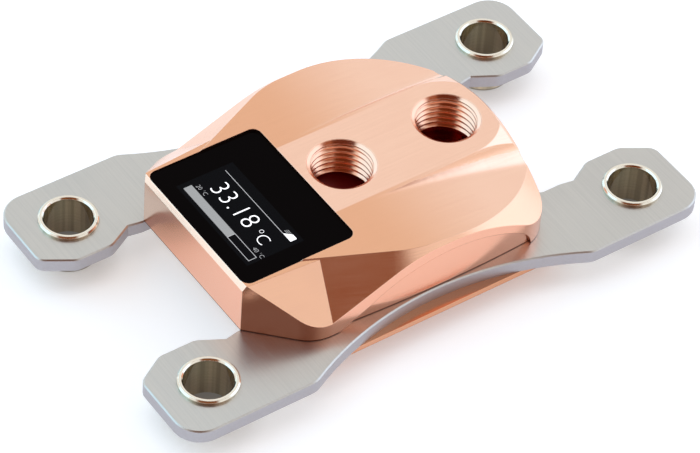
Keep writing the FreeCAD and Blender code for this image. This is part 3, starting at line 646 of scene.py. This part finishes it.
class COLDPLATE_OT_finishes(bpy.types.Operator):
    """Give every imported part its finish"""

    bl_idname = "coldplate.finishes"
    bl_label = "Finishes"

    def execute(self, context):
        c = settings("coldplate_colours")
        f = settings("coldplate_finish")
        block_copper = brushed_copper("housing_copper", c.copper, c.slope, c.wall, 0.22,
                                      HOUSING_HIGH.z - f.hollow_shade_from, HOUSING_HIGH.z - f.hollow_shade_full)
        # The cold plate's upright walls get painted shade, its copper at three quarters brightness, and its
        # top between the plate's faces gets the painted shade deep below the ports.
        base_copper = brushed_copper("base_copper", c.base_copper, c.base_copper, shaded(c.base_copper, 0.75),
                                     0.20, PLATE_LOW.z, PLATE_HIGH.z)
        steel = brushed_steel("plate_steel", c.plate, c.plate_edge, 0.34)
        sleeve = turned_metal("sleeve_steel", c.rim, c.bore, SLEEVES[0]["pos_m"], 0.11)
        screw = turned_metal("screw_steel", (0.50, 0.50, 0.52), (0.45, 0.45, 0.47), (0.0, 0.0), 0.25)
        rubber = moulded("seal_rubber", (0.020, 0.020, 0.021), 0.62)
        insert = moulded("insert_plastic", (0.62, 0.62, 0.59), 0.45)
        black = moulded("chip_plastic", (0.020, 0.020, 0.022), 0.42)
        panel = moulded("display_dark", (0.012, 0.012, 0.014), 0.16, 1500.0, 0.02)
        amber = moulded("ribbon_amber", (0.40, 0.16, 0.03), 0.30, 1500.0, 0.03)
        gold = turned_metal("contact_gold", (0.85, 0.60, 0.22), (0.80, 0.55, 0.20), (0.0, 0.0), 0.2)
        maroon = moulded("insert_maroon", c.insert, 0.40)
        finishes = {
            "top_housing": block_copper,
            "mounting_plate": steel,
            "cold_plate": base_copper,
            "main_seal": rubber,
            "jet_plate": steel,
            "flow_insert": maroon,
            "base_screws": screw,
            "locating_pins": screw,
            "display_window": black_glass("window_glass", c.glass, c.field),
            "window_gasket": rubber,
            "display_cell": panel,
            "backlight": insert,
            "display_carrier": insert,
            "display_ribbon": amber,
            "ribbon_connector": black,
            "display_board": board_laminate("board_green"),
            "board_screws": screw,
            "controller_chip": black,
            "power_chip": black,
            "temperature_sensor": screw,
            "sensor_seal": rubber,
            "data_socket": black,
            "socket_contacts": gold,
        }
        for name, node in frame["nodes"].items():
            material = finishes.get(name, sleeve)
            node.data.materials.clear()
            node.data.materials.append(material)
        return {"FINISHED"}


class COLDPLATE_OT_port_threads(bpy.types.Operator):
    """Cut thread of each port: one ridge wound down the wall, fading out at both ends"""

    bl_idname = "coldplate.port_threads"
    bl_label = "Port threads"

    def execute(self, context):
        t = settings("coldplate_thread")
        c = settings("coldplate_colours")
        root = PORT_WALL + t.root_overlap
        middle = (root + t.crest_radius) / 2
        top = HOUSING_HIGH.z - t.top_gap
        bottom = INSERT_HIGH.z + t.bottom_gap
        turns = (top - bottom) / t.pitch
        clear_selection()
        bpy.ops.mesh.primitive_plane_add(size=1, location=(0, 0, 0))
        ridge = bpy.context.object
        bpy.ops.object.mode_set(mode="EDIT")
        bpy.ops.transform.rotate(value=math.pi / 2, orient_axis="X", center_override=(0, 0, 0))
        bpy.ops.transform.resize(value=(root - t.crest_radius, 1, t.root_width))
        bpy.ops.transform.translate(value=(middle, 0, bottom))
        bpy.ops.mesh.delete(type="ONLY_FACE")
        bpy.ops.object.mode_set(mode="OBJECT")
        for vertex in ridge.data.vertices:
            vertex.select = vertex.co.x < middle
        for edge in ridge.data.edges:
            edge.select = all(ridge.data.vertices[i].select for i in edge.vertices)
        bpy.ops.object.mode_set(mode="EDIT")
        bpy.ops.transform.resize(value=(1, 1, t.crest_width / t.root_width),
                                 center_override=(0, 0, bottom))
        bpy.ops.mesh.bevel(offset=t.crest_round, segments=2, affect="VERTICES")
        bpy.ops.object.mode_set(mode="OBJECT")
        screw = ridge.modifiers.new("turns", "SCREW")
        screw.axis = "Z"
        screw.angle = 2 * math.pi * turns
        screw.screw_offset = t.pitch * turns
        screw.steps = round(t.steps * turns)
        screw.render_steps = screw.steps
        screw.use_merge_vertices = False
        bpy.ops.object.modifier_apply(modifier=screw.name)
        self.fade_ends(ridge, t, root, middle)
        bpy.ops.object.mode_set(mode="EDIT")
        bpy.ops.mesh.select_all(action="SELECT")
        bpy.ops.mesh.fill_holes(sides=0)
        bpy.ops.object.mode_set(mode="OBJECT")
        bpy.ops.object.shade_smooth_by_angle(angle=math.radians(25))
        fit_to_ports(ridge, "_thread", thread_copper("thread_copper", c.thread, shaded(c.thread, 0.8)))
        return {"FINISHED"}

    def fade_ends(self, ridge, t, root, middle):
        """Moves the crest out to the wall over the last part of each end, and all of it below the mouth."""
        mouth = HOUSING_HIGH.z - t.root_overlap
        heights = [vertex.co.z for vertex in ridge.data.vertices]
        low = min(heights) + t.root_width / 2
        high = max(heights) - t.root_width / 2
        span = t.pitch * (t.steps // 3) / t.steps
        for vertex in ridge.data.vertices:
            reach = math.hypot(vertex.co.x, vertex.co.y)
            near = min(vertex.co.z - low, high - vertex.co.z)
            vertex.co.z = min(vertex.co.z, mouth)
            if reach > middle:
                continue
            share = min(max(near / span, 0.0), 1.0)
            target = root - (root - reach) * share
            vertex.co.x *= target / reach
            vertex.co.y *= target / reach


class COLDPLATE_OT_port_lips(bpy.types.Operator):
    """Countersunk mouth of each port, turned from one profile"""

    bl_idname = "coldplate.port_lips"
    bl_label = "Port lips"

    def execute(self, context):
        t = settings("coldplate_thread")
        c = settings("coldplate_colours")
        wall = PORT_WALL + t.root_overlap
        top = HOUSING_HIGH.z - t.root_overlap
        profile = (
            Vector((wall, 0, top)),
            Vector((wall - t.lip_in, 0, top - t.lip_drop)),
            Vector((wall - t.lip_in, 0, top - t.lip_drop - t.crest_width)),
            Vector((wall, 0, top - t.lip_drop - t.lip_in)),
        )
        clear_selection()
        bpy.ops.mesh.primitive_plane_add(size=1)
        ring = bpy.context.object
        for index, vertex in zip((0, 1, 3, 2), profile):
            ring.data.vertices[index].co = vertex
        bpy.ops.object.mode_set(mode="EDIT")
        bpy.ops.mesh.select_all(action="SELECT")
        bpy.ops.mesh.delete(type="ONLY_FACE")
        bpy.ops.mesh.select_all(action="SELECT")
        bpy.ops.mesh.spin(steps=2 * t.steps, angle=2 * math.pi, center=(0, 0, 0), axis=(0, 0, 1))
        bpy.ops.object.mode_set(mode="OBJECT")
        close_up(ring)
        bpy.ops.object.shade_smooth_by_angle(angle=math.radians(20))
        fit_to_ports(ring, "_lip", thread_copper("lip_copper", c.thread, shaded(c.thread, 0.9)))
        return {"FINISHED"}


class COLDPLATE_OT_readout(bpy.types.Operator):
    """Lit reading on the display: digits, unit, small numbers and lines"""

    bl_idname = "coldplate.readout"
    bl_label = "Readout"

    def execute(self, context):
        r = settings("coldplate_readout")
        c = settings("coldplate_colours")
        z = GLASS_HIGH.z
        film = r.film
        w = r.rule_width
        white = lit_film("lit_white", c.lit, 1.5, 0.1)
        pale = lit_film("lit_pale", c.lit, 0.6, 0.1)
        grey = lit_film("lit_grey", c.bar, 1.0, 0.5)

        digits = lettering("33.18", r.digit_height, r.digit_left, r.digit_base, z, film, r.stroke, 1.03)
        finish_piece(digits, "readout_digits", white)
        degree = lettering("°", r.unit_height, r.degree_left, r.digit_base, z, film, r.stroke / 2)
        letter = lettering("C", r.unit_height, r.unit_left, r.digit_base, z, film, r.stroke * 0.7)
        finish_piece(joined([degree, letter]), "readout_unit", white)
        ends = (("20 °C", r.bar_left + r.scale_in), ("40 °C", r.bar_right - r.scale_out))
        numbers = [lettering(text, r.scale_height, x, r.scale_base, z, film, r.stroke / 4)
                   for text, x in ends]
        finish_piece(joined(numbers), "readout_scale", pale)

        fill = lit_strip(r.bar_left, r.bar_fill, r.bar_front, r.bar_rear, z, film, w)
        finish_piece(fill, "readout_bar", grey)
        outline = lit_frame(r.bar_fill, r.bar_right, r.bar_front, r.bar_rear, z, film, w)
        line = lit_strip(r.bar_left, r.tag_left, r.rule_y - w / 2, r.rule_y + w / 2, z, film, w / 3)
        finish_piece(joined([outline, line]), "readout_rules", pale)

        lean = (r.tag_right - r.tag_left) / 2
        tag = lit_strip(r.tag_left, r.tag_right, r.rule_y, r.tag_rear, z, film, w, lean)
        finish_piece(tag, "readout_tag", white)
        fins = []
        for index in range(3):
            y = r.rule_y + (r.tag_rear - r.rule_y) * (r.fin_first + r.fin_pitch * index)
            left = r.tag_left - (r.fin_out - r.fin_lean * index) * w
            fins.append(lit_strip(left, left + lean, y, y + w, z, film, w / 3, w))
        finish_piece(joined(fins), "readout_fins", grey)
        return {"FINISHED"}


class COLDPLATE_OT_stage(bpy.types.Operator):
    """White floor, soft studio surround and the camera"""

    bl_idname = "coldplate.stage"
    bl_label = "Stage"

    def execute(self, context):
        s = settings("coldplate_stage")
        c = settings("coldplate_colours")
        clear_selection()
        bpy.ops.mesh.primitive_plane_add(size=s.floor_size, location=(0, 0, CAD_BOX[0].z))
        floor = bpy.context.object
        bake_place(floor)
        floor.name = "floor"
        floor.data.materials.append(studio_floor("floor_white", c.floor, c.under_foot_shadow))
        self.surround(s)
        self.camera(s)
        view = context.scene.view_settings
        view.view_transform = "Standard"
        view.look = "None"
        return {"FINISHED"}

    def surround(self, s):
        """White room with the soft bright and dim panels that the metal mirrors."""
        world = bpy.data.worlds.new("studio")
        bpy.context.scene.world = world
        world.use_nodes = True
        tree = world.node_tree
        background = next(n for n in tree.nodes if n.type == "BACKGROUND")
        place = tree.nodes.new("ShaderNodeTexCoord").outputs["Generated"]
        light = None
        for direction, inner, outer, panel in PANELS:
            dot = tree.nodes.new("ShaderNodeVectorMath")
            dot.operation = "DOT_PRODUCT"
            tree.links.new(place, dot.inputs[0])
            dot.inputs[1].default_value = Vector(direction).normalized()
            share = tree.nodes.new("ShaderNodeMapRange")
            share.interpolation_type = "SMOOTHSTEP"
            tree.links.new(dot.outputs["Value"], share.inputs[0])
            share.inputs[1].default_value = math.cos(math.radians(outer))
            share.inputs[2].default_value = math.cos(math.radians(inner))
            mix = tree.nodes.new("ShaderNodeMix")
            mix.data_type = "RGBA"
            colours = [socket for socket in mix.inputs if socket.type == "RGBA"]
            tree.links.new(share.outputs[0], mix.inputs[0])
            colours[0].default_value = (1.0, 1.0, 1.0, 1.0)
            if light is not None:
                tree.links.new(light, colours[0])
            colours[1].default_value = (*panel, 1.0)
            light = next(socket for socket in mix.outputs if socket.type == "RGBA")
        tree.links.new(light, background.inputs["Color"])
        background.inputs["Strength"].default_value = s.sky

    def camera(self, s):
        """Camera on its round about the target, turned upright and then rolled."""
        back = Vector((math.sin(s.azimuth) * math.cos(s.elevation),
                       -math.cos(s.azimuth) * math.cos(s.elevation), math.sin(s.elevation)))
        right = Vector((0, 0, 1)).cross(back).normalized()
        up = back.cross(right)
        side = math.cos(s.roll) * right + math.sin(s.roll) * up
        top = math.cos(s.roll) * up - math.sin(s.roll) * right
        target = Vector((s.target_x, s.target_y, s.target_z))
        clear_selection()
        bpy.ops.object.camera_add()
        camera = bpy.context.object
        turn = Matrix((side, top, back)).transposed()
        camera.matrix_world = Matrix.Translation(target + back * s.distance) @ turn.to_4x4()
        camera.data.lens = s.focal
        camera.data.sensor_width = 36.0
        camera.data.sensor_fit = "HORIZONTAL"
        camera.data.clip_start = 0.01
        camera.data.clip_end = 20.0
        bpy.context.scene.camera = camera


class COLDPLATE_PT_panel(bpy.types.Panel):
    """The steps that dress the cold plate"""

    bl_idname = "COLDPLATE_PT_panel"
    bl_label = "Cold Plate"
    bl_space_type = "VIEW_3D"
    bl_region_type = "UI"
    bl_category = "Cold Plate"

    def draw(self, context):
        for operator in OPERATORS:
            self.layout.operator(operator.bl_idname)
        for name in GROUPS:
            group = settings(name)
            box = self.layout.box()
            for key in group.__annotations__:
                box.prop(group, key)


OPERATORS = (
    COLDPLATE_OT_finishes,
    COLDPLATE_OT_port_threads,
    COLDPLATE_OT_port_lips,
    COLDPLATE_OT_readout,
    COLDPLATE_OT_stage,
)
GROUPS = {
    "coldplate_thread": ThreadSizes,
    "coldplate_finish": FinishSizes,
    "coldplate_readout": ReadoutSizes,
    "coldplate_colours": FinishColours,
    "coldplate_stage": StageSizes,
}


def register():
    for cls in (*GROUPS.values(), *OPERATORS, COLDPLATE_PT_panel):
        bpy.utils.register_class(cls)
    for name, group in GROUPS.items():
        setattr(bpy.types.Scene, name, bpy.props.PointerProperty(type=group))


def unregister():
    for name in GROUPS:
        delattr(bpy.types.Scene, name)
    for cls in reversed((*GROUPS.values(), *OPERATORS, COLDPLATE_PT_panel)):
        bpy.utils.unregister_class(cls)


def main():
    register()
    bpy.ops.coldplate.finishes()
    bpy.ops.coldplate.port_threads()
    bpy.ops.coldplate.port_lips()
    bpy.ops.coldplate.readout()
    bpy.ops.coldplate.stage()


if __name__ == "__main__":
    main()
